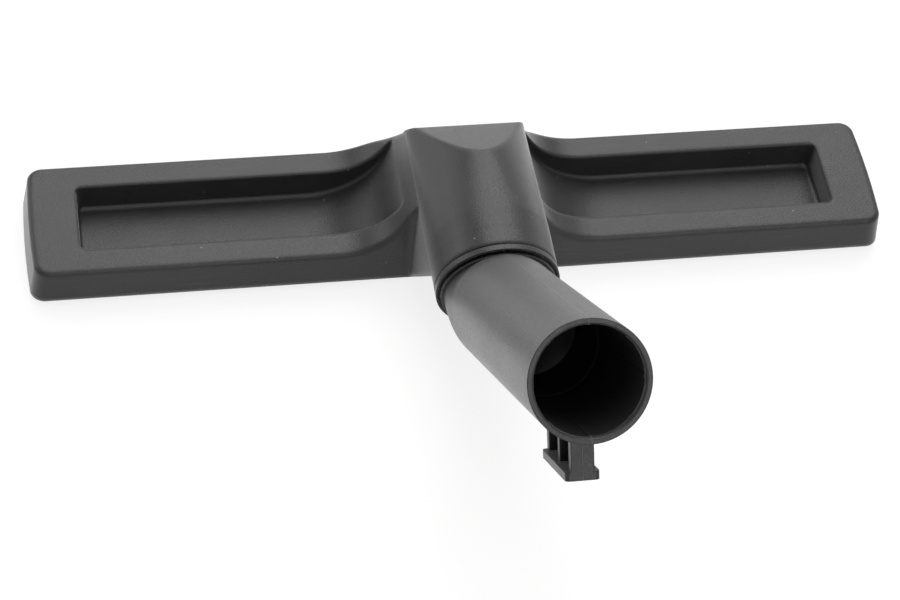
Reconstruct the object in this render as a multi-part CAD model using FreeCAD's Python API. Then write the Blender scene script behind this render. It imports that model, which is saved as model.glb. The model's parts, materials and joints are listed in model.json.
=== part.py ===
"""Wet suction floor nozzle: a wide moulded head, two squeegee lips and a swivel elbow.

Millimetres. +X runs along the head, +Y points away from the user, +Z is up.
The origin lies on the floor, midway between the two lips and midway along the head.
"""
import FreeCAD
import Part
import math
import os

Vector = FreeCAD.Vector

# Head: a long shallow bar, open below
bar_length = 321.0          # along X, on the top face at the middle of the ends
bar_depth = 50.0            # along Y, on the top face
skirt_height = 15.0         # from the rim up to the top face
rim_height = 2.5            # the rim's height over the floor, carried by the lips
side_draft = 0.7            # how far the long sides lean out from top to rim
end_draft = 2.0             # how far the ends lean out from top to rim
end_bow = 1.0               # how far the middle of each end stands out past its corners
corner_radius = 5.5         # upright corners of the bar
edge_radius = 1.5           # top edges of the bar
wall = 2.3                  # moulded wall of the head

# Sunk pockets in the two wings
strip_width = 10.3          # raised strip in front of and behind a pocket
end_strip_width = 17.7      # raised strip at the outer end of a pocket
pocket_depth = 11.9
pocket_floor_wall = 2.0
pocket_draft = 0.6          # how far each pocket wall leans in from top to floor
pocket_corner_radius = 2.5
pocket_floor_radius = 1.2

# Sweeps that lift the wings into the neck
sweep_start = 50.0          # distance from the middle where the top face begins to rise
sweep_lead = 16.0           # how long the sweep follows the top face before it turns up
sweep_rise = 27.0           # from the top face up to where the sweep meets the neck's side
sweep_steep = (3.8, 17.0)   # run and rise of the sweep's direction where it meets the side
pocket_sweep_start = 57.0
pocket_sweep_radius = 32.0
rear_start = 2.5            # below the top face, where the far side begins to curve in
rear_radius = 22.0          # of that curve
rear_slope = 32.0           # degrees from upright, where the curve runs out into a flat

# Neck: a duct from the throat of the head to the swivel, along -Y
neck_radius = 22.2
neck_axis_height = 42.9     # over the rim
neck_reach = 37.4           # from the near side of the bar to the mouth of the neck
neck_side_step = 0.15       # the flat sides below the axis stand back this much at the mould line
crown_start = 17.0          # straight round part of the neck, back from its mouth
crown_side_height = 43.0    # over the rim, where the far end's crown leaves the upright sides
crown_peak_height = 62.0    # over the rim, top of the crown at its far end
crown_side_pull = 2.5       # small pulls make the far end's crown more like a gable
crown_peak_pull = 3.5
facet_height = 48.0         # over the rim, the far edge of the flat facet
facet_slope = 32.0          # degrees, the flat facet behind the crown
facet_edge_radius = 1.5
underside_slope = 53.0      # degrees, the sloped underside between bar and neck
neck_flare_radius = 2.5     # between the neck's sides and the bar's near side

# Lips and the rails that hold them
lip_clearance = 0.15
lip_blade = 2.6             # thickness of the blade
lip_head_height = 3.0
lip_rib_height = 1.2
lip_rib_levels = (2.5, 6.0)  # over the rim
lip_end_gap = 3.6           # from the end wall to the end of a lip, clear of the round corner
lip_tip = 1.2               # thickness of the blade's wiping edge
lip_tip_height = 2.5
rail_height = 9.0
notch_width = 2.0
notch_height = 1.4
notch_spacing = 10.0

# Swivel: the elbow's flange is caught between the neck and the retaining ring
seat_depth = 8.0            # counterbore in the neck's mouth
seat_radius = 20.9
ring_band = 2.2             # visible width of the ring
ring_groove = 1.9           # recess in the ring's front face
ring_lip = 0.7              # thin outer wall in front of that recess
ring_seam = 0.4             # thin gap between neck and ring
ring_slit = 0.12            # split in the ring, at its top
ring_fit = 0.05             # radial gap between the ring's sleeve and its seat
journal_radius = 19.65      # the elbow's journal, which turns in the ring
swivel_gap = 0.3            # running gap round the elbow, radial and axial
flange_width = 1.8
spigot_length = 5.0
bead_height = 1.2           # the bead that the elbow carries just ahead of the ring
bead_width = 0.8
bead_gap = 0.8              # from the ring to the bead

# Elbow and wand socket
tube_radius = 19.5
socket_radius = 17.5        # takes a 35 mm wand
socket_depth = 60.0
airway_radius = 16.9        # behind the socket's stop
tube_angle = 43.2           # degrees over the neck's axis
bend_radius = 20.5
bend_reach = 10.2           # from the neck's mouth to the point where the two axes meet
tube_length = 132.0         # from that point to the socket's mouth
mouth_edge = 0.5
rib_count = 8
rib_height = 0.2
rib_width = 1.2
rib_setback = 0.6
rib_length = 52.0

# Parking hook: a T rail under the tube
hook_setback = 13.0         # from the mouth to the near end of the rail
hook_length = 33.5
hook_height = 14.5          # from the tube's surface to the face of the rail
flange_thickness = 2.7
flange_half_width = 5.5
web_half_width = 3.7
web_core = 1.6              # thickness of the web between the ribs
hook_rib = 3.0              # thickness of the two end ribs
hook_mid_rib = 2.4
hook_corner = 1.5
hook_root = 3.0             # how deep the web runs into the tube's wall before the bore is cut

# Levels and places worked out from the sizes above
top_z = rim_height + skirt_height
neck_z = rim_height + neck_axis_height
half_depth = bar_depth / 2
near_y = -half_depth
neck_mouth_y = near_y - neck_reach
throat_radius = neck_radius - wall
side_slope = side_draft / skirt_height
end_slope = end_draft / skirt_height
pocket_floor_z = top_z - pocket_depth
pocket_half = half_depth - strip_width
pocket_end = bar_length / 2 - end_strip_width
bend_y = neck_mouth_y - bend_reach
hump_top = rim_height + crown_peak_height
overlap = 5.0               # how far cutting bodies run past what they cut
belly_overlap = 3.0         # how far the neck's underside runs back into the bar


def polygon(points):
    """Face inside a closed run of straight edges."""
    return Part.Face(Part.makePolygon(points + [points[0]]))


def side_prism(points, half_width):
    """Solid with a side outline of (y, z) points, centred on the middle plane."""
    face = polygon([Vector(-half_width, y, z) for y, z in points])
    return face.extrude(Vector(2 * half_width, 0, 0))


def arc(start, middle, end):
    return Part.Arc(start, middle, end).toShape()


def line(start, end):
    return Part.LineSegment(start, end).toShape()


def end_block(inset, bottom_z, tall):
    """Block that gives the bar its leaning ends: bowed outside, flat inside."""
    half_length = bar_length / 2 - inset
    if inset > 0:
        flat = half_length - end_bow
        points = [
            Vector(-flat - end_slope * (top_z - bottom_z), 0, bottom_z),
            Vector(flat + end_slope * (top_z - bottom_z), 0, bottom_z),
            Vector(flat - end_slope * (tall - top_z), 0, tall),
            Vector(-flat + end_slope * (tall - top_z), 0, tall),
        ]
        return extrude_through(polygon(points), 2 * bar_depth)
    bow_radius = (half_depth ** 2 + end_bow ** 2) / (2 * end_bow)
    low_radius = bow_radius + end_slope * (top_z - bottom_z)
    high_radius = bow_radius - end_slope * (tall - top_z)
    shift = half_length - bow_radius
    right = Part.makeCone(low_radius, high_radius, tall - bottom_z, Vector(shift, 0, bottom_z))
    left = Part.makeCone(low_radius, high_radius, tall - bottom_z, Vector(-shift, 0, bottom_z))
    return right.common(left)


def far_run(inset, bottom_z, peak_z):
    """Side outline of the far side: drafted skirt, curve, leaning flat and facet.

    Gives the edges in the plane X = 0 and the outline's first and last point.
    """
    draft = math.atan(side_slope)
    lean = math.radians(rear_slope)
    facet = math.radians(facet_slope)
    tangent_z = top_z - rear_start
    tangent_y = half_depth + side_slope * rear_start
    centre_y = tangent_y - rear_radius * math.cos(draft)
    centre_z = tangent_z - rear_radius * math.sin(draft)
    radius = rear_radius - inset

    def on_curve(angle):
        return Vector(0, centre_y + radius * math.cos(angle), centre_z + radius * math.sin(angle))

    curve_start = on_curve(draft)
    curve_end = on_curve(lean)
    # The flat meets the facet at facet_height, and both move in by the inset
    run = (rim_height + facet_height - centre_z - rear_radius * math.sin(lean)) / math.cos(lean)
    step_in = inset * math.tan((math.pi / 2 - lean - facet) / 2)
    corner = curve_end + Vector(0, -math.sin(lean), math.cos(lean)) * (run - step_in)
    rise = (peak_z - corner.z) / math.tan(facet)
    peak = Vector(0, corner.y - rise, peak_z)
    drop = curve_start.z - bottom_z
    low = Vector(0, curve_start.y + side_slope * drop, bottom_z)
    edges = [
        line(low, curve_start),
        arc(curve_start, on_curve((draft + lean) / 2), curve_end),
        line(curve_end, corner),
        line(corner, peak),
    ]
    return edges, low, peak


def far_side_prism(points, inset, bottom_z, peak_z):
    """Solid along X between the far side's outline and a run of (y, z) points.

    The points lead from the peak of the far side round to its lowest point.
    """
    edges, low, peak = far_run(inset, bottom_z, peak_z)
    corners = [peak] + [Vector(0, y, z) for y, z in points] + [low]
    for start, end in zip(corners, corners[1:]):
        edges.append(line(start, end))
    face = Part.Face(Part.Wire(edges))
    face.translate(Vector(-bar_length / 2 - overlap, 0, 0))
    return face.extrude(Vector(bar_length + 2 * overlap, 0, 0))


def wing_form(inset):
    """Bar and shoulders as one solid block, or its inner form when inset by the wall."""
    bottom_z = rim_height if inset == 0 else rim_height - overlap
    tall = hump_top + overlap
    near = near_y + inset
    form = far_side_prism([
        (near + side_slope * (tall - top_z), tall),
        (near - side_slope * (top_z - bottom_z), bottom_z),
    ], inset, bottom_z, tall)
    form = form.common(extrude_through(rise_face(inset, bottom_z), 2 * bar_depth))
    form = one_solid(form.common(end_block(inset, bottom_z, tall)))
    return form.makeFillet(corner_radius - inset, corner_edges_of_bar(form))


def corner_edges_of_bar(form):
    """Upright edges at the four corners of the bar."""
    found = []
    for edge in form.Edges:
        first, last = [edge.valueAt(t) for t in (edge.FirstParameter, edge.LastParameter)]
        at_end = min(abs(first.x), abs(last.x)) > bar_length / 2 - corner_radius
        at_side = min(abs(first.y), abs(last.y)) > half_depth - corner_radius
        if at_end and at_side and abs(last.z - first.z) > 0.1:
            found.append(edge)
    return found


def rise_face(inset, floor_z):
    """Face below the whole top: both wings, the sweeps and the flat between them."""
    level = top_z - inset
    inner_x = neck_radius - inset
    meet_z = top_z + sweep_rise
    run, rise = sweep_steep
    curves = []
    for side in (1, -1):
        poles = [
            Vector(side * sweep_start, 0, level),
            Vector(side * (sweep_start - sweep_lead), 0, level),
            Vector(side * (inner_x + run), 0, meet_z - rise),
            Vector(side * inner_x, 0, meet_z),
        ]
        if side < 0:
            poles.reverse()
        curve = Part.BezierCurve()
        curve.setPoles(poles)
        curves.append(curve.toShape())
    end_x = bar_length / 2 + overlap
    wire = Part.Wire([
        line(Vector(-end_x, 0, floor_z), Vector(end_x, 0, floor_z)),
        line(Vector(end_x, 0, floor_z), Vector(end_x, 0, level)),
        line(Vector(end_x, 0, level), Vector(sweep_start, 0, level)),
        curves[0],
        line(Vector(inner_x, 0, meet_z), Vector(-inner_x, 0, meet_z)),
        curves[1],
        line(Vector(-sweep_start, 0, level), Vector(-end_x, 0, level)),
        line(Vector(-end_x, 0, level), Vector(-end_x, 0, floor_z)),
    ])
    return Part.Face(wire)


def extrude_through(face, depth):
    """Solid that a face in the XZ plane sweeps, centred on Y = 0."""
    face.translate(Vector(0, -depth / 2, 0))
    return face.extrude(Vector(0, depth, 0))


def pocket(side, grow):
    """The space of one pocket, or with its walls when grown. side is -1 or 1."""
    floor_wall = pocket_floor_wall if grow > 0 else 0.0
    floor_z = pocket_floor_z - floor_wall
    radius = pocket_sweep_radius + floor_wall
    tall = top_z + pocket_sweep_radius
    end_x = pocket_end + grow
    low_end_x = end_x - pocket_draft
    centre_z = floor_z + radius
    inner_x = pocket_sweep_start - radius
    diagonal = radius * math.sqrt(0.5)
    wire = Part.Wire([
        line(Vector(pocket_sweep_start, 0, floor_z), Vector(low_end_x, 0, floor_z)),
        line(Vector(low_end_x, 0, floor_z), Vector(end_x, 0, top_z)),
        line(Vector(end_x, 0, top_z), Vector(end_x, 0, tall)),
        line(Vector(end_x, 0, tall), Vector(inner_x, 0, tall)),
        line(Vector(inner_x, 0, tall), Vector(inner_x, 0, centre_z)),
        arc(Vector(inner_x, 0, centre_z),
            Vector(pocket_sweep_start - diagonal, 0, centre_z - diagonal),
            Vector(pocket_sweep_start, 0, floor_z)),
    ])
    space = extrude_through(Part.Face(wire), 2 * bar_depth)
    half_width = pocket_half + grow
    slope = pocket_draft / pocket_depth
    outline = [
        (-half_width + pocket_draft, floor_z),
        (half_width - pocket_draft, floor_z),
        (half_width + slope * (tall - top_z), tall),
        (-half_width - slope * (tall - top_z), tall),
    ]
    space = space.common(side_prism(outline, bar_length))
    rounded = corner_edges(space, end_x, floor_z)
    space = space.makeFillet(pocket_corner_radius + grow, rounded)
    floor_edges = [e for e in space.Edges if lies_on_pocket_floor(e, floor_z)]
    if grow == 0:
        space = space.makeFillet(pocket_floor_radius, floor_edges)
    if side < 0:
        space = space.mirror(Vector(0, 0, 0), Vector(1, 0, 0))
    return space


def corner_edges(space, end_x, floor_z):
    """The two upright corners at the outer end of a pocket, below the top face."""
    found = []
    for edge in space.Edges:
        box = edge.BoundBox
        at_end = box.XMin > end_x - pocket_draft - 0.01
        upright = box.ZMax - box.ZMin > pocket_depth / 2 and box.YMax - box.YMin < bar_depth / 4
        if at_end and upright:
            found.append(edge)
    return found


def lies_on_pocket_floor(edge, floor_z):
    """True for the long edges and the round corners that bound a pocket's floor."""
    box = edge.BoundBox
    return box.ZMax < floor_z + 0.01


def neck_section(y, half_width, corner_z, crown_edges, floor_z):
    """Closed section of the neck: upright sides under a crown."""
    right = Vector(half_width, y, corner_z)
    left = Vector(-half_width, y, corner_z)
    low_right = Vector(half_width, y, floor_z)
    low_left = Vector(-half_width, y, floor_z)
    return Part.Wire([line(low_left, low_right), line(low_right, right)]
                     + crown_edges + [line(left, low_left)])


def round_crown(y, radius):
    """Half circle from the right side over the top to the left."""
    peak = Vector(0, y, neck_z + radius)
    half = radius * math.sqrt(0.5)
    right = arc(Vector(radius, y, neck_z), Vector(half, y, neck_z + half), peak)
    left = arc(peak, Vector(-half, y, neck_z + half), Vector(-radius, y, neck_z))
    return [right, left]


def arched_crown(y, half_width, side_z, peak_z):
    """Crown that leaves the sides upright and closes like a gable with a rounded ridge."""
    edges = []
    for side in (1, -1):
        poles = [
            Vector(side * half_width, y, side_z),
            Vector(side * half_width, y, side_z + crown_side_pull),
            Vector(side * crown_peak_pull, y, peak_z),
            Vector(0, y, peak_z),
        ]
        if side < 0:
            poles.reverse()
        curve = Part.BezierCurve()
        curve.setPoles(poles)
        edges.append(curve.toShape())
    return edges


def neck(inset):
    """Neck and hump: round at its mouth, square-shouldered where the flat facet cuts it."""
    floor_z = rim_height - overlap
    radius = neck_radius - inset
    mouth_y = neck_mouth_y if inset == 0 else neck_mouth_y - overlap
    arch_y = neck_mouth_y + crown_start
    far_y = half_depth + overlap
    side_z = rim_height + crown_side_height - inset / 2
    peak_z = rim_height + crown_peak_height - inset
    near_section = neck_section(arch_y, radius, neck_z, round_crown(arch_y, radius), floor_z)
    far_section = neck_section(far_y, radius, side_z,
                               arched_crown(far_y, radius, side_z, peak_z), floor_z)
    crown = Part.makeLoft([near_section, far_section], True, True)
    mouth_section = neck_section(mouth_y, radius, neck_z, round_crown(mouth_y, radius), floor_z)
    straight = Part.Face(mouth_section).extrude(Vector(0, arch_y - mouth_y, 0))
    hump = one_solid(crown.fuse(straight).common(hump_side(inset, mouth_y)))
    if inset == 0:
        hump = hump.makeFillet(facet_edge_radius, far_edges(hump))
    belly = side_prism(belly_outline(inset), radius - neck_side_step)
    half_pipe = Part.makeCylinder(radius, near_y + belly_overlap - mouth_y, Vector(0, mouth_y, neck_z),
                                  Vector(0, 1, 0))
    under = Part.makeBox(4 * radius, bar_depth * 2, 2 * radius,
                         Vector(-2 * radius, mouth_y - overlap, neck_z - 2 * radius))
    return one_solid(hump.fuse([belly, half_pipe.common(under)]))


def hump_side(inset, mouth_y):
    """Side outline of the hump over the bar and of the neck above its axis, as a solid."""
    bottom_z = rim_height if inset == 0 else rim_height - overlap
    peak_z = hump_top + overlap
    start_y = near_y + belly_overlap / 2 + inset
    return far_side_prism([
        (mouth_y, peak_z),
        (mouth_y, neck_z),
        (start_y, neck_z),
        (start_y, bottom_z),
    ], inset, bottom_z, peak_z)


def far_edges(hump):
    """Edges round the flat facet, and where the crown meets the far side below it."""
    found = []
    for edge in hump.Edges:
        low = edge.BoundBox.ZMin
        middle = edge.valueAt((edge.FirstParameter + edge.LastParameter) / 2)
        if low > rim_height + crown_side_height - 0.01 and middle.y > near_y:
            found.append(edge)
    return found


def belly_outline(inset):
    """Side outline of the flat-sided part under the neck, down to the rim."""
    under = math.radians(underside_slope)
    bottom_z = rim_height if inset == 0 else rim_height - overlap
    foot_y = near_y - side_draft + inset / math.sin(under)
    foot_y = foot_y + (rim_height - bottom_z) / math.tan(under)
    reach_y = foot_y - (neck_z - bottom_z) / math.tan(under)
    back_y = near_y + belly_overlap + inset
    return [(foot_y, bottom_z), (back_y, bottom_z), (back_y, neck_z), (reach_y, neck_z)]


def one_solid(shape):
    """The single solid in a result, or an error when it has fallen apart."""
    if len(shape.Solids) != 1:
        raise ValueError("expected one solid, found " + str(len(shape.Solids)))
    return shape.Solids[0]


def top_edges(form):
    """Edges round the top of the bar and up both sides of the sweeps."""
    found = []
    for edge in form.Edges:
        first, last = [edge.valueAt(t) for t in (edge.FirstParameter, edge.LastParameter)]
        middle = edge.valueAt((edge.FirstParameter + edge.LastParameter) / 2)
        on_top = min(first.z, last.z) > top_z - 0.01
        between_sweeps = abs(middle.x) < neck_radius + 0.01
        starts_sweep = abs(first.y - last.y) > bar_depth / 2 and abs(middle.x) < sweep_start + 0.01
        if on_top and not between_sweeps and not starts_sweep:
            found.append(edge)
    return found


def wings_outer():
    """Bar and shoulders with the two pockets sunk in."""
    form = wing_form(0)
    form = form.makeFillet(edge_radius, top_edges(form))
    for side in (-1, 1):
        form = form.cut(pocket(side, 0))
    return one_solid(form)


def wings_inner():
    """The hollow inside bar and shoulders, stepping down under the pockets."""
    form = wing_form(wall)
    for side in (-1, 1):
        form = form.cut(pocket(side, wall))
    return one_solid(form)


def neck_flare(side):
    """Hollow rounding in the corner between one side of the neck and the bar's near side."""
    radius = neck_flare_radius
    corner_x = neck_radius - neck_side_step
    corner_y = near_y - side_draft
    deep = wall / 2
    rim = rim_height
    bulge = radius * (1 - math.sqrt(0.5))
    points = [
        Vector(corner_x + radius, corner_y, rim),
        Vector(corner_x + bulge, corner_y - bulge, rim),
        Vector(corner_x, corner_y - radius, rim),
        Vector(corner_x - deep, corner_y - radius, rim),
        Vector(corner_x - deep, corner_y + deep, rim),
        Vector(corner_x + radius, corner_y + deep, rim),
    ]
    wire = Part.Wire([
        arc(points[0], points[1], points[2]),
        line(points[2], points[3]),
        line(points[3], points[4]),
        line(points[4], points[5]),
        line(points[5], points[0]),
    ])
    flare = Part.Face(wire).extrude(Vector(0, 0, neck_axis_height))
    flare.rotate(Vector(0, corner_y, rim), Vector(1, 0, 0), -math.degrees(math.atan(side_slope)))
    flare = flare.common(side_prism(flare_outline(), bar_length / 2))
    flare = flare.common(extrude_through(rise_face(0, rim), 4 * bar_depth))
    if side < 0:
        flare = flare.mirror(Vector(0, 0, 0), Vector(1, 0, 0))
    return flare


def flare_outline():
    """Side outline that ends the flare on the same slope as the neck's underside."""
    points = belly_outline(0)
    return [points[0], (0.0, rim_height), (0.0, neck_z), points[3]]


def rails():
    """Two ribs inside the head that hold the lips against its long walls."""
    low_z = rim_height
    half_length = bar_length / 2 - wall / 2
    solids = []
    for side in (-1, 1):
        inner = side * pocket_half
        outer = side * (pocket_half + wall)
        solids.append(Part.makeBox(2 * half_length, wall, rail_height,
                                   Vector(-half_length, min(inner, outer), low_z)))
    return solids


def nozzle_body():
    body = wings_outer().fuse([neck(0), neck_flare(-1), neck_flare(1)])
    body = one_solid(body).cut([wings_inner(), neck(wall)])
    body = one_solid(body).fuse(rails())
    seat = Part.makeCylinder(seat_radius, seat_depth, Vector(0, neck_mouth_y, neck_z), Vector(0, 1, 0))
    return one_solid(body.cut(seat)).removeSplitter()


def lip_outline(side):
    """Section of a lip as (y, z) points: head, ribs, blade and thin wiping edge."""
    channel_inner = pocket_half + wall
    channel_outer = half_depth - wall
    middle = (channel_inner + channel_outer) / 2
    half_head = (channel_outer - channel_inner) / 2 - lip_clearance
    half_blade = lip_blade / 2
    head_top = rim_height + rail_height + lip_head_height
    head_low = rim_height + rail_height
    right = [(half_head, head_top), (half_head, head_low), (half_blade, head_low)]
    for level in reversed(lip_rib_levels):
        low_z = rim_height + level
        right.append((half_blade, low_z + lip_rib_height))
        right.append((half_head, low_z + lip_rib_height))
        right.append((half_blade, low_z))
    right.append((half_blade, lip_tip_height))
    right.append((lip_tip / 2, 0.0))
    left = [(-y, z) for y, z in reversed(right)]
    return [(side * middle + y, z) for y, z in right + left]


def lip(side, notched):
    half_length = bar_length / 2 - wall - lip_end_gap
    strip = side_prism(lip_outline(side), half_length)
    if not notched:
        return strip
    count = int((2 * half_length - notch_spacing) // notch_spacing)
    first = -notch_spacing * (count - 1) / 2
    notches = []
    for index in range(count):
        x = first + index * notch_spacing - notch_width / 2
        notches.append(Part.makeBox(notch_width, bar_depth, notch_height,
                                    Vector(x, side * half_depth - half_depth, 0)))
    return strip.cut(Part.makeCompound(notches))


def neck_ring(y, length, outer, inner):
    """Round collar on the neck's axis that starts at y and runs towards the user."""
    place = Vector(0, y, neck_z)
    towards = Vector(0, -1, 0)
    return Part.makeCylinder(outer, length, place, towards).cut(
        Part.makeCylinder(inner, length, place, towards))


def retaining_ring():
    bore = journal_radius + swivel_gap
    sleeve_length = seat_depth - flange_width - 2 * swivel_gap
    sleeve = neck_ring(neck_mouth_y + sleeve_length, sleeve_length + ring_seam + ring_band,
                       seat_radius - ring_fit, bore)
    band = neck_ring(neck_mouth_y - ring_seam, ring_band, neck_radius, bore)
    groove = neck_ring(neck_mouth_y - ring_seam - ring_band + ring_groove, ring_groove,
                       neck_radius - ring_lip, bore - 1.0)
    ring = sleeve.fuse(band).cut(groove)
    slit = Part.makeBox(ring_slit, seat_depth + 4 * ring_band, 2 * neck_radius,
                        Vector(-ring_slit / 2, neck_mouth_y - 2 * ring_band, neck_z))
    return ring.cut(slit).removeSplitter()


def tube_frame(shape):
    """Turn a shape built round +Z at the origin to the socket's axis and mouth."""
    angle = math.radians(tube_angle)
    shape.rotate(Vector(0, 0, 0), Vector(1, 0, 0), 90.0 - tube_angle)
    shape.translate(Vector(0, bend_y - tube_length * math.cos(angle),
                           neck_z + tube_length * math.sin(angle)))
    return shape


def bend(radius):
    """Part of a round pipe that turns from the neck's axis to the tube's."""
    tangent = bend_radius * math.tan(math.radians(tube_angle / 2))
    start_y = bend_y + tangent
    circle = Part.Wire(Part.makeCircle(radius, Vector(0, start_y, neck_z), Vector(0, 1, 0)))
    return Part.Face(circle).revolve(Vector(0, start_y, neck_z + bend_radius),
                                     Vector(1, 0, 0), -tube_angle)


def pipe_run(radius, start_y, end_setback):
    """Solid core of the elbow: straight spigot, bend and straight tube."""
    tangent = bend_radius * math.tan(math.radians(tube_angle / 2))
    bend_start = bend_y + tangent
    spigot = Part.makeCylinder(radius, start_y - bend_start, Vector(0, bend_start, neck_z),
                               Vector(0, 1, 0))
    straight = tube_length - tangent - end_setback
    tube = tube_frame(Part.makeCylinder(radius, straight, Vector(0, 0, -straight - end_setback)))
    return spigot.fuse(bend(radius)).fuse(tube)


def parking_hook():
    """T rail built under a tube that stands along +Z with its mouth at the origin."""
    near_z = -hook_setback
    far_z = near_z - hook_length
    face_y = -(tube_radius + hook_height)
    web_top = -(tube_radius - hook_root)
    web_length = -face_y + web_top
    web = Part.makeBox(2 * web_half_width, web_length, hook_length,
                       Vector(-web_half_width, face_y, far_z))
    flange = Part.makeBox(2 * flange_half_width, flange_thickness, hook_length,
                          Vector(-flange_half_width, face_y, far_z))
    corners = [e for e in flange.Edges if e.BoundBox.YMax - e.BoundBox.YMin > flange_thickness / 2]
    flange = flange.makeFillet(hook_corner, corners)
    bay = (hook_length - 2 * hook_rib - hook_mid_rib) / 2
    bay_height = web_length - flange_thickness
    bay_width = web_half_width - web_core / 2
    for start in (far_z + hook_rib, far_z + hook_rib + bay + hook_mid_rib):
        for left in (-web_half_width, web_core / 2):
            web = web.cut(Part.makeBox(bay_width, bay_height, bay,
                                       Vector(left, face_y + flange_thickness, start)))
    return tube_frame(web.fuse(flange))


def crush_ribs():
    """Fine ribs along the socket's wall that grip the wand."""
    ribs = []
    for index in range(rib_count):
        rib = Part.makeBox(rib_width, rib_height + 1.0, rib_length,
                           Vector(-rib_width / 2, socket_radius - rib_height, -rib_setback - rib_length))
        rib.rotate(Vector(0, 0, 0), Vector(0, 0, 1), 360.0 * index / rib_count)
        ribs.append(tube_frame(rib))
    return ribs


def swivel_elbow():
    flange_y = neck_mouth_y + seat_depth - swivel_gap
    spigot_end = flange_y + spigot_length
    spigot_radius = throat_radius - 2 * swivel_gap
    outer = pipe_run(tube_radius, flange_y - flange_width, 0.0)
    flange = Part.makeCylinder(seat_radius - swivel_gap, flange_width,
                               Vector(0, flange_y, neck_z), Vector(0, -1, 0))
    spigot = Part.makeCylinder(spigot_radius, spigot_length + flange_width,
                               Vector(0, spigot_end, neck_z), Vector(0, -1, 0))
    bead_y = neck_mouth_y - ring_seam - ring_band - bead_gap
    bead = Part.makeCylinder(tube_radius + bead_height, bead_width, Vector(0, bead_y, neck_z),
                             Vector(0, -1, 0))
    journal = Part.makeCylinder(journal_radius, flange_y - bead_y, Vector(0, flange_y, neck_z),
                                Vector(0, -1, 0))
    elbow = outer.fuse([flange, spigot, journal, bead, parking_hook()])
    elbow = elbow.cut(pipe_run(airway_radius, spigot_end + 1.0, socket_depth))
    socket = tube_frame(Part.makeCylinder(socket_radius, socket_depth + 1.0,
                                          Vector(0, 0, -socket_depth)))
    elbow = elbow.cut(socket)
    mouth = tube_frame(Part.makeCone(socket_radius, socket_radius + mouth_edge, mouth_edge,
                                     Vector(0, 0, -mouth_edge)))
    elbow = elbow.cut(mouth)
    for rib in crush_ribs():
        elbow = elbow.fuse(rib)
    return elbow.removeSplitter()


def build():
    return {
        "nozzle_body": nozzle_body(),
        "front_lip": lip(1, False),
        "rear_lip": lip(-1, True),
        "retaining_ring": retaining_ring(),
        "swivel_elbow": swivel_elbow(),
    }


os.makedirs("parts", exist_ok=True)
for name, shape in build().items():
    shape.exportStep("parts/" + name + ".step")
    print(name, "valid", shape.isValid(), "solids", len(shape.Solids), "volume", round(shape.Volume))
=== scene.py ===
"""Looks and studio for a wet suction floor nozzle: black moulded head, swivel elbow, two rubber lips."""

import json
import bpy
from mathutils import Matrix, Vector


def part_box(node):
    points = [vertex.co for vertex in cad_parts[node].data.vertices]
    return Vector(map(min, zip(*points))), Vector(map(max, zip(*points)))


bl_info = {
    "name": "Wet Suction Floor Nozzle",
    "version": (1, 0, 0),
    "blender": (4, 5, 0),
    "location": "3D View > Sidebar > Nozzle",
    "description": "Finishes the moulded parts and lips of a wet suction nozzle and sets up its studio",
    "category": "Object",
}

import bpy
from mathutils import Vector

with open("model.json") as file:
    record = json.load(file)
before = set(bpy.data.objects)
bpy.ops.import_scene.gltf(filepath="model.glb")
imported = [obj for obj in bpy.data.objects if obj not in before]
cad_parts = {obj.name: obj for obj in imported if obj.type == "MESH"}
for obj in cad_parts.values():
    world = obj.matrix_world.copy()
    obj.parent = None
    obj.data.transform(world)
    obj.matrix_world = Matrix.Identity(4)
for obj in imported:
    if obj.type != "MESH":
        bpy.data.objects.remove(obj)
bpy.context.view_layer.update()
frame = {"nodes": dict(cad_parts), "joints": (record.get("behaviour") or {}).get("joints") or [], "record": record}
nodes = frame["nodes"]
MM = 0.001

# Sizes of the patterns on the plastic, the rubber and the floor
CLOUD_SIZE = 28 * MM
PATCH_SIZE = 45 * MM
SINK_SIZE = 60 * MM
SINK_DEPTH = 1.5 * MM
RUBBED_RIM_HEIGHT = 1.2 * MM
BLOOM_SIZE = 12 * MM
EXTRUSION_LINE_SPACING = 0.4 * MM
EXTRUSION_LINE_DEPTH = 0.05 * MM
FLOOR_GRAIN_SIZE = 2.0 * MM
FLOOR_GRAIN_DEPTH = 0.1 * MM

# The painted shade of the bore starts this far inside the socket's mount, and ends this far, in the airway behind
BORE_SHADE_FROM = 2 * MM
BORE_SHADE_TO = 90 * MM

# How much of the floor's white is its own, so that the rest still shows the nozzle's shadow
WHITE_SHARE = 0.8

# The lamps all face this place, and the floor lies this far below the lips
LAMP_TARGET = (0.0, 0.0, 0.03)
FLOOR_DROP = 0.2 * MM


def linear(hex_colour):
    """Linear red, green, blue and alpha of an sRGB hex colour."""
    parts = [int(hex_colour[start:start + 2], 16) / 255 for start in (1, 3, 5)]
    return tuple(c / 12.92 if c <= 0.04045 else ((c + 0.055) / 1.055) ** 2.4 for c in parts) + (1.0,)


# Sizes read from the frame


def joint_place():
    """Where the neck's axis meets the mouth of the neck."""
    return Vector(frame["joints"][0]["pos_m"])


def socket_mount():
    """The wand socket's record: its place, its axis and its radius."""
    found = [m for m in frame["record"]["mounts"] if m["name"] == "wand_socket"]
    return found[0]


# Settings


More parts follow.
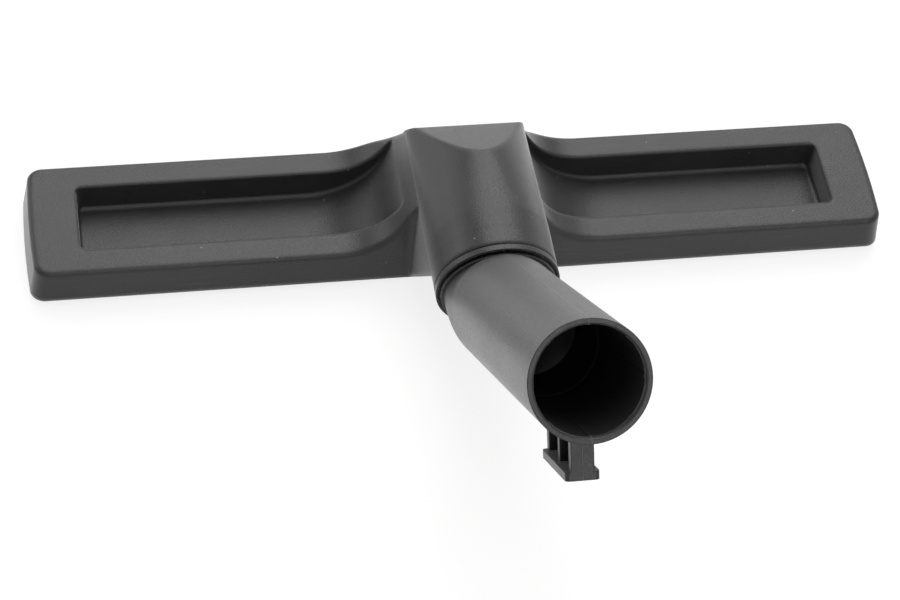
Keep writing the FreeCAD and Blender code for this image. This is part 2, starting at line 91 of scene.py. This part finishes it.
class NozzleFinish(bpy.types.PropertyGroup):
    plastic: bpy.props.FloatVectorProperty(
        name="Plastic", description="Colour of the black ABS mouldings", subtype="COLOR", size=4,
        min=0, max=1, default=linear("#111111"))
    plastic_worn: bpy.props.FloatVectorProperty(
        name="Rubbed plastic", description="Colour of the plastic where it is rubbed or dusty",
        subtype="COLOR", size=4, min=0, max=1, default=linear("#42423F"))
    speck: bpy.props.FloatVectorProperty(
        name="Specks", description="Colour of dust and grit on the plastic", subtype="COLOR", size=4,
        min=0, max=1, default=linear("#8E8C84"))
    # The rubber colour is also the base of the painted shade inside the socket's bore
    rubber: bpy.props.FloatVectorProperty(
        name="Rubber", description="Colour of the two lips", subtype="COLOR", size=4,
        min=0, max=1, default=linear("#161617"))
    plastic_roughness: bpy.props.FloatProperty(
        name="Plastic roughness", description="How dull the mould texture makes the plastic",
        subtype="FACTOR", min=0, max=1, default=0.36)
    head_edge: bpy.props.FloatProperty(
        name="Head edge softness", description="Radius that the shading gives to the head's crisp edges",
        subtype="DISTANCE", unit="LENGTH", min=0, max=0.006, default=2.6 * MM)
    elbow_edge: bpy.props.FloatProperty(
        name="Elbow edge softness", description="Radius that the shading gives to the elbow's crisp edges",
        subtype="DISTANCE", unit="LENGTH", min=0, max=0.003, default=0.5 * MM)
    grain: bpy.props.FloatProperty(
        name="Mould texture", description="Grain size of the eroded mould texture",
        subtype="DISTANCE", unit="LENGTH", min=0.0001, max=0.005, default=0.62 * MM)
    scuff: bpy.props.FloatProperty(
        name="Scuff width", description="Width of one fine rub mark", subtype="DISTANCE",
        unit="LENGTH", min=0.0001, max=0.01, default=0.9 * MM)
    speck_spacing: bpy.props.FloatProperty(
        name="Speck spacing", description="Distance between possible dust specks", subtype="DISTANCE",
        unit="LENGTH", min=0.001, max=0.1, default=4.5 * MM)


class NozzleSeams(bpy.types.PropertyGroup):
    width: bpy.props.FloatProperty(
        name="Seam width", description="Width of the fine ridge that the mould's joint leaves",
        subtype="DISTANCE", unit="LENGTH", min=0.0001, max=0.002, default=0.5 * MM)
    height: bpy.props.FloatProperty(
        name="Seam height", description="Height of that ridge over the surface",
        subtype="DISTANCE", unit="LENGTH", min=0.00005, max=0.001, default=0.1 * MM)


class NozzleStage(bpy.types.PropertyGroup):
    floor: bpy.props.FloatVectorProperty(
        name="Floor", description="Colour of the floor", subtype="COLOR", size=4,
        min=0, max=1, default=linear("#F2F2F0"))
    floor_size: bpy.props.FloatProperty(
        name="Floor size", description="Side of the square floor", subtype="DISTANCE",
        unit="LENGTH", min=1, max=20, default=8.0)
    lens: bpy.props.FloatProperty(
        name="Lens", description="Focal length on a 36 mm wide sensor", subtype="DISTANCE_CAMERA",
        unit="CAMERA", min=10, max=400, default=101.838)
    camera_place: bpy.props.FloatVectorProperty(
        name="Camera place", description="Where the camera stands", subtype="TRANSLATION",
        unit="LENGTH", size=3, default=(-0.172362, -0.587168, 0.755131))
    camera_turn: bpy.props.FloatVectorProperty(
        name="Camera turn", description="How the camera is turned, about X, Y and Z",
        subtype="EULER", unit="ROTATION", size=3, default=(0.644583, -0.099067, -0.158963))
    world_light: bpy.props.FloatProperty(
        name="Room light", description="Strength of the even light from all round",
        min=0, max=2, default=0.45)
    back_power: bpy.props.FloatProperty(
        name="Back light", description="Power of the large soft lamp behind and over the nozzle",
        subtype="POWER", unit="POWER", min=0, max=500, default=17.6)
    left_power: bpy.props.FloatProperty(
        name="Left light", description="Power of the soft lamp behind the nozzle on the left",
        subtype="POWER", unit="POWER", min=0, max=500, default=4.0)
    top_power: bpy.props.FloatProperty(
        name="Top light", description="Power of the soft lamp straight above",
        subtype="POWER", unit="POWER", min=0, max=500, default=6.0)
    front_power: bpy.props.FloatProperty(
        name="Front light", description="Power of the weak soft lamp on the viewer's side",
        subtype="POWER", unit="POWER", min=0, max=500, default=7.0)


# Materials


def add_node(tree, kind, inputs=None, **settings):
    """Add a node, set its properties, and set or link its inputs by name or number."""
    node = tree.nodes.new(kind)
    for name, value in settings.items():
        setattr(node, name, value)
    for socket, value in (inputs or {}).items():
        if isinstance(value, bpy.types.NodeSocket):
            tree.links.new(value, node.inputs[socket])
        else:
            node.inputs[socket].default_value = value
    return node


def new_material(name):
    """An empty node material and its tree."""
    material = bpy.data.materials.new(name)
    material.use_nodes = True
    material.node_tree.nodes.clear()
    return material, material.node_tree


def seam_line(tree, place, axis, level, width):
    """1 on the mould's joint line, where the named coordinate has the given level, fading to 0 beside it."""
    value = add_node(tree, "ShaderNodeSeparateXYZ", {0: place}).outputs[axis]
    aside = add_node(tree, "ShaderNodeMath", {0: value, 1: level}, operation="SUBTRACT")
    distance = add_node(tree, "ShaderNodeMath", {0: aside.outputs[0]}, operation="ABSOLUTE")
    line = add_node(tree, "ShaderNodeMapRange", {
        "Value": distance.outputs[0], "From Min": width * 0.3, "From Max": width * 0.6,
        "To Min": 1.0, "To Max": 0.0})
    return line.outputs[0]


def inside_bore(tree, place, mount):
    """1 on the wall inside a round socket and the airway behind it, where the bore's shade is painted, else 0."""
    axis = Vector(mount["axis"]).normalized()
    wall = mount["dims"]["r_mm"] * MM
    offset = add_node(tree, "ShaderNodeVectorMath", {0: place, 1: tuple(mount["pos_m"])},
                      operation="SUBTRACT")
    aside = add_node(tree, "ShaderNodeVectorMath", {0: offset.outputs[0], 1: tuple(axis)},
                     operation="CROSS_PRODUCT")
    distance = add_node(tree, "ShaderNodeVectorMath", {0: aside.outputs[0]}, operation="LENGTH")
    near = add_node(tree, "ShaderNodeMapRange", {
        "Value": distance.outputs["Value"], "From Min": wall + 0.1 * MM, "From Max": wall + 0.3 * MM,
        "To Min": 1.0, "To Max": 0.0})
    along = add_node(tree, "ShaderNodeVectorMath", {0: offset.outputs[0], 1: tuple(axis)},
                     operation="DOT_PRODUCT")
    middle = -(BORE_SHADE_TO + BORE_SHADE_FROM) / 2
    half = (BORE_SHADE_TO - BORE_SHADE_FROM) / 2
    reached = add_node(tree, "ShaderNodeMath", {0: along.outputs["Value"], 1: middle, 2: half},
                       operation="COMPARE")
    both = add_node(tree, "ShaderNodeMath", {0: near.outputs[0], 1: reached.outputs[0]}, operation="MULTIPLY")
    return both.outputs[0]


def moulded_abs(name, finish, seams, edge, rim_height, seam_axis, seam_level, bore=None):
    """ABS moulded against a spark-eroded steel tool.

    The eroded tool leaves an even satin skin: the black looks grey under a wide lamp, with no
    sharp reflection. Handling rubs fine pale streaks and dust into it. The skin's pits trap part of
    the reflection, so the index of refraction is set below the 1.53 of polished ABS.
    """
    material, tree = new_material(name)
    place = add_node(tree, "ShaderNodeTexCoord").outputs["Object"]

    # Cloudy change of tone over a few centimetres, as melt flow and handling leave
    cloud = add_node(tree, "ShaderNodeTexNoise", {
        "Vector": place, "Scale": 1 / CLOUD_SIZE, "Detail": 3.0, "Roughness": 0.55})
    tone = add_node(tree, "ShaderNodeMapRange", {
        "Value": cloud.outputs["Fac"], "From Min": 0.3, "From Max": 0.7, "To Min": 0.0, "To Max": 0.12})

    # Rub marks: noise drawn out along the head, seen only in patches
    drawn = add_node(tree, "ShaderNodeMapping", {"Vector": place, "Scale": (0.06, 1.0, 1.0)})
    streaks = add_node(tree, "ShaderNodeTexNoise", {
        "Vector": drawn.outputs["Vector"], "Scale": 1 / finish.scuff, "Detail": 2.0, "Roughness": 0.5})
    streak = add_node(tree, "ShaderNodeMapRange", {
        "Value": streaks.outputs["Fac"], "From Min": 0.62, "From Max": 0.8})
    patches = add_node(tree, "ShaderNodeTexNoise", {"Vector": place, "Scale": 1 / PATCH_SIZE, "Detail": 1.0})
    patch = add_node(tree, "ShaderNodeMapRange", {
        "Value": patches.outputs["Fac"], "From Min": 0.52, "From Max": 0.68, "To Max": 0.5})
    rubbed = add_node(tree, "ShaderNodeMath", {0: streak.outputs[0], 1: patch.outputs[0]},
                      operation="MULTIPLY")
    worn = add_node(tree, "ShaderNodeMath", {0: rubbed.outputs[0], 1: tone.outputs[0]},
                    operation="ADD", use_clamp=True)

    # The lower edge drags over floors and is rubbed paler
    height = add_node(tree, "ShaderNodeSeparateXYZ", {0: place}).outputs["Z"]
    low = add_node(tree, "ShaderNodeMapRange", {
        "Value": height, "From Min": rim_height, "From Max": rim_height + RUBBED_RIM_HEIGHT,
        "To Min": 0.12, "To Max": 0.0})
    wear = add_node(tree, "ShaderNodeMath", {0: worn.outputs[0], 1: low.outputs[0]},
                    operation="ADD", use_clamp=True)
    skin = add_node(tree, "ShaderNodeMix", {
        "Factor": wear.outputs[0], 6: tuple(finish.plastic), 7: tuple(finish.plastic_worn)},
        data_type="RGBA")

    # The joint line of the mould: a fine ridge that stands up and is rubbed paler
    seam = seam_line(tree, place, seam_axis, seam_level, seams.width)
    seam_rub = add_node(tree, "ShaderNodeMath", {0: seam, 1: 0.7}, operation="MULTIPLY")
    lined = add_node(tree, "ShaderNodeMix", {
        "Factor": seam_rub.outputs[0], 6: skin.outputs[2], 7: tuple(finish.plastic_worn)}, data_type="RGBA")

    # Dust: a few dots about half a millimetre across
    dots = add_node(tree, "ShaderNodeTexVoronoi", {"Vector": place, "Scale": 1 / finish.speck_spacing})
    near = add_node(tree, "ShaderNodeMath", {0: dots.outputs["Distance"], 1: 0.06}, operation="LESS_THAN")
    rare = add_node(tree, "ShaderNodeSeparateColor", {0: dots.outputs["Color"]})
    chosen = add_node(tree, "ShaderNodeMath", {0: rare.outputs[0], 1: 0.9}, operation="GREATER_THAN")
    dust = add_node(tree, "ShaderNodeMath", {0: near.outputs[0], 1: chosen.outputs[0]}, operation="MULTIPLY")
    faint = add_node(tree, "ShaderNodeMath", {0: dust.outputs[0], 1: 0.6}, operation="MULTIPLY")
    colour = add_node(tree, "ShaderNodeMix", {
        "Factor": faint.outputs[0], 6: lined.outputs[2], 7: tuple(finish.speck)}, data_type="RGBA")

    # The eroded skin itself: real grains are about 0.05 mm, drawn coarser here so that they show
    grain = add_node(tree, "ShaderNodeTexNoise", {
        "Vector": place, "Scale": 1 / finish.grain, "Detail": 2.0, "Roughness": 0.6})
    sink = add_node(tree, "ShaderNodeTexNoise", {"Vector": place, "Scale": 1 / SINK_SIZE, "Detail": 1.0})
    soft_edges = add_node(tree, "ShaderNodeBevel", {"Radius": edge}, samples=8)
    skin_bump = add_node(tree, "ShaderNodeBump", {
        "Height": grain.outputs["Fac"], "Normal": soft_edges.outputs[0], "Strength": 0.6,
        "Distance": finish.grain * 0.3})
    seam_bump = add_node(tree, "ShaderNodeBump", {
        "Height": seam, "Normal": skin_bump.outputs[0], "Strength": 0.6, "Distance": seams.height})
    bump = add_node(tree, "ShaderNodeBump", {
        "Height": sink.outputs["Fac"], "Normal": seam_bump.outputs[0], "Strength": 0.25,
        "Distance": SINK_DEPTH})
    gloss = add_node(tree, "ShaderNodeMapRange", {
        "Value": cloud.outputs["Fac"], "From Min": 0.3, "From Max": 0.7,
        "To Min": finish.plastic_roughness - 0.04, "To Max": finish.plastic_roughness + 0.06})
    dull = add_node(tree, "ShaderNodeMath", {0: rubbed.outputs[0], 1: 0.25, 2: gloss.outputs[0]},
                    operation="MULTIPLY_ADD")
    pits = add_node(tree, "ShaderNodeMapRange", {
        "Value": grain.outputs["Fac"], "From Min": 0.3, "From Max": 0.7, "To Min": -0.1, "To Max": 0.1})
    mottled = add_node(tree, "ShaderNodeMath", {0: dull.outputs[0], 1: pits.outputs[0]}, operation="ADD")
    shader = add_node(tree, "ShaderNodeBsdfPrincipled", {
        "Base Color": colour.outputs[2], "Roughness": mottled.outputs[0], "IOR": 1.36,
        "Sheen Weight": 0.28, "Sheen Roughness": 0.4, "Normal": bump.outputs[0]})
    surface = shader.outputs[0]
    if bore:
        # Painted shade: inside the socket and the airway behind it, a darker and duller shader without the skin's
        # sheen stands in for the shade in the bore
        painted_bore_shade = add_node(tree, "ShaderNodeBsdfPrincipled", {
            "Base Color": tuple(finish.rubber), "Roughness": 0.8, "IOR": 1.3})
        surface = add_node(tree, "ShaderNodeMixShader", {
            0: inside_bore(tree, place, bore), 1: surface, 2: painted_bore_shade.outputs[0]}).outputs[0]
    add_node(tree, "ShaderNodeOutputMaterial", {"Surface": surface})
    return material


def lip_rubber(name, finish):
    """Extruded nitrile rubber: dead matt black, with a faint bloom and lengthwise extrusion lines."""
    material, tree = new_material(name)
    place = add_node(tree, "ShaderNodeTexCoord").outputs["Object"]
    bloom = add_node(tree, "ShaderNodeTexNoise", {"Vector": place, "Scale": 1 / BLOOM_SIZE, "Detail": 4.0})
    pale = add_node(tree, "ShaderNodeMapRange", {
        "Value": bloom.outputs["Fac"], "From Min": 0.45, "From Max": 0.75, "To Max": 0.25})
    colour = add_node(tree, "ShaderNodeMix", {
        "Factor": pale.outputs[0], 6: tuple(finish.rubber), 7: tuple(finish.plastic)}, data_type="RGBA")

    # Extrusion lines about 0.4 mm apart, running along the lip
    drawn = add_node(tree, "ShaderNodeMapping", {"Vector": place, "Scale": (0.01, 1.0, 1.0)})
    lines = add_node(tree, "ShaderNodeTexNoise", {
        "Vector": drawn.outputs["Vector"], "Scale": 1 / EXTRUSION_LINE_SPACING, "Detail": 1.0})
    bump = add_node(tree, "ShaderNodeBump", {
        "Height": lines.outputs["Fac"], "Strength": 0.3, "Distance": EXTRUSION_LINE_DEPTH})
    shader = add_node(tree, "ShaderNodeBsdfPrincipled", {
        "Base Color": colour.outputs[2], "Roughness": 0.72, "IOR": 1.52, "Normal": bump.outputs[0]})
    add_node(tree, "ShaderNodeOutputMaterial", {"Surface": shader.outputs[0]})
    return material


def seen_rays(tree):
    """1 for rays that the camera sees directly, in a reflection or through a clear piece, else 0."""
    ray = add_node(tree, "ShaderNodeLightPath")
    mirrored = add_node(tree, "ShaderNodeMath", {
        0: ray.outputs["Is Camera Ray"], 1: ray.outputs["Is Glossy Ray"]}, operation="MAXIMUM")
    seen = add_node(tree, "ShaderNodeMath", {
        0: mirrored.outputs[0], 1: ray.outputs["Is Transmission Ray"]}, operation="MAXIMUM")
    return seen.outputs[0]


def floor_paint(name, stage):
    """Matt white table board. Seen directly and in reflections it is white, with a faint shadow left."""
    material, tree = new_material(name)
    place = add_node(tree, "ShaderNodeTexCoord").outputs["Object"]
    grain = add_node(tree, "ShaderNodeTexNoise", {
        "Vector": place, "Scale": 1 / FLOOR_GRAIN_SIZE, "Detail": 2.0})
    bump = add_node(tree, "ShaderNodeBump", {
        "Height": grain.outputs["Fac"], "Strength": 0.05, "Distance": FLOOR_GRAIN_DEPTH})
    matt = add_node(tree, "ShaderNodeBsdfPrincipled", {
        "Base Color": tuple(stage.floor), "Roughness": 0.9, "Normal": bump.outputs[0]})
    white = add_node(tree, "ShaderNodeEmission", {"Color": (1, 1, 1, 1), "Strength": 1.0})
    share = add_node(tree, "ShaderNodeMath", {0: seen_rays(tree), 1: WHITE_SHARE}, operation="MULTIPLY")
    mixed = add_node(tree, "ShaderNodeMixShader", {
        0: share.outputs[0], 1: matt.outputs[0], 2: white.outputs[0]})
    add_node(tree, "ShaderNodeOutputMaterial", {"Surface": mixed.outputs[0]})
    return material


def cover(node_name, material):
    """Give a CAD node one material."""
    mesh = nodes[node_name].data
    mesh.materials.clear()
    mesh.materials.append(material)


# Studio helpers


def start_fresh():
    """Leave edit mode and deselect everything."""
    if bpy.context.object and bpy.context.object.mode != "OBJECT":
        bpy.ops.object.mode_set(mode="OBJECT")
    bpy.ops.object.select_all(action="DESELECT")


def lamp(name, place, size, power):
    """A square soft lamp at a place, facing the nozzle."""
    start_fresh()
    turn = (Vector(LAMP_TARGET) - Vector(place)).to_track_quat("-Z", "Y").to_euler()
    bpy.ops.object.light_add(type="AREA", location=place, rotation=turn)
    light = bpy.context.object
    light.name = name
    light.data.size = size
    light.data.energy = power


# Operators


class NOZZLE_OT_mouldings(bpy.types.Operator):
    """Finish the head, the retaining ring and the swivel elbow as black ABS mouldings"""
    bl_idname = "nozzle.mouldings"
    bl_label = "Finish Mouldings"

    def execute(self, context):
        finish = context.scene.nozzle_finish
        seams = context.scene.nozzle_seams
        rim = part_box("nozzle_body")[0].z
        # The elbow touches no floor, so its rubbed rim is put below everything
        below_all = -1.0
        neck = joint_place()
        head_skin = moulded_abs("Satin black ABS, head", finish, seams, finish.head_edge, rim, "Z", neck.z)
        elbow_skin = moulded_abs("Satin black ABS, elbow", finish, seams, finish.elbow_edge, below_all,
                                 "X", neck.x, socket_mount())
        cover("nozzle_body", head_skin)
        cover("retaining_ring", elbow_skin)
        cover("swivel_elbow", elbow_skin)
        return {"FINISHED"}


class NOZZLE_OT_lips(bpy.types.Operator):
    """Finish the two squeegee lips as black nitrile rubber"""
    bl_idname = "nozzle.lips"
    bl_label = "Finish Lips"

    def execute(self, context):
        rubber = lip_rubber("Black nitrile rubber", context.scene.nozzle_finish)
        cover("front_lip", rubber)
        cover("rear_lip", rubber)
        return {"FINISHED"}


class NOZZLE_OT_studio(bpy.types.Operator):
    """Lay the floor, hang the lamps and set the camera to the photograph's view"""
    bl_idname = "nozzle.studio"
    bl_label = "Set Up Studio"

    def execute(self, context):
        stage = context.scene.nozzle_stage
        start_fresh()
        bpy.ops.mesh.primitive_plane_add(size=stage.floor_size, location=(0, 0, -FLOOR_DROP))
        floor = context.object
        floor.name = "floor"
        bpy.ops.object.transform_apply(location=True, rotation=True, scale=True)
        floor.data.materials.append(floor_paint("Matt white board", stage))
        lamp("back_lamp", (0.2, 0.85, 1.0), 1.2, stage.back_power)
        lamp("left_lamp", (-1.1, 0.8, 0.55), 0.8, stage.left_power)
        lamp("top_lamp", (0.0, 0.1, 1.3), 0.8, stage.top_power)
        lamp("front_lamp", (0.25, -1.15, 0.8), 0.8, stage.front_power)
        world = bpy.data.worlds.new("White room")
        world.use_nodes = True
        tree = world.node_tree
        tree.nodes.clear()
        strength = add_node(tree, "ShaderNodeMapRange", {
            "Value": seen_rays(tree), "To Min": stage.world_light, "To Max": 1.0})
        sky = add_node(tree, "ShaderNodeBackground", {
            "Color": (1, 1, 1, 1), "Strength": strength.outputs[0]})
        add_node(tree, "ShaderNodeOutputWorld", {"Surface": sky.outputs[0]})
        context.scene.world = world
        start_fresh()
        bpy.ops.object.camera_add(location=tuple(stage.camera_place), rotation=tuple(stage.camera_turn))
        camera = context.object
        camera.name = "photo_camera"
        camera.data.sensor_width = 36
        camera.data.lens = stage.lens
        camera.data.clip_end = 50
        context.scene.camera = camera
        context.scene.view_settings.view_transform = "Standard"
        return {"FINISHED"}


class NOZZLE_PT_panel(bpy.types.Panel):
    """Settings and steps for the nozzle"""
    bl_label = "Wet Suction Nozzle"
    bl_space_type = "VIEW_3D"
    bl_region_type = "UI"
    bl_category = "Nozzle"

    def draw(self, context):
        layout = self.layout
        for group in (context.scene.nozzle_finish, context.scene.nozzle_seams, context.scene.nozzle_stage):
            for name in group.bl_rna.properties.keys():
                if name not in ("rna_type", "name"):
                    layout.prop(group, name)
        for operator in OPERATORS:
            layout.operator(operator.bl_idname)


GROUPS = (NozzleFinish, NozzleSeams, NozzleStage)
OPERATORS = (NOZZLE_OT_mouldings, NOZZLE_OT_lips, NOZZLE_OT_studio)


def register():
    for item in GROUPS + OPERATORS + (NOZZLE_PT_panel,):
        bpy.utils.register_class(item)
    bpy.types.Scene.nozzle_finish = bpy.props.PointerProperty(type=NozzleFinish)
    bpy.types.Scene.nozzle_seams = bpy.props.PointerProperty(type=NozzleSeams)
    bpy.types.Scene.nozzle_stage = bpy.props.PointerProperty(type=NozzleStage)


def unregister():
    del bpy.types.Scene.nozzle_stage
    del bpy.types.Scene.nozzle_seams
    del bpy.types.Scene.nozzle_finish
    for item in reversed(GROUPS + OPERATORS + (NOZZLE_PT_panel,)):
        bpy.utils.unregister_class(item)


def main():
    register()
    bpy.ops.nozzle.mouldings()
    bpy.ops.nozzle.lips()
    bpy.ops.nozzle.studio()


if __name__ == "__main__":
    main()
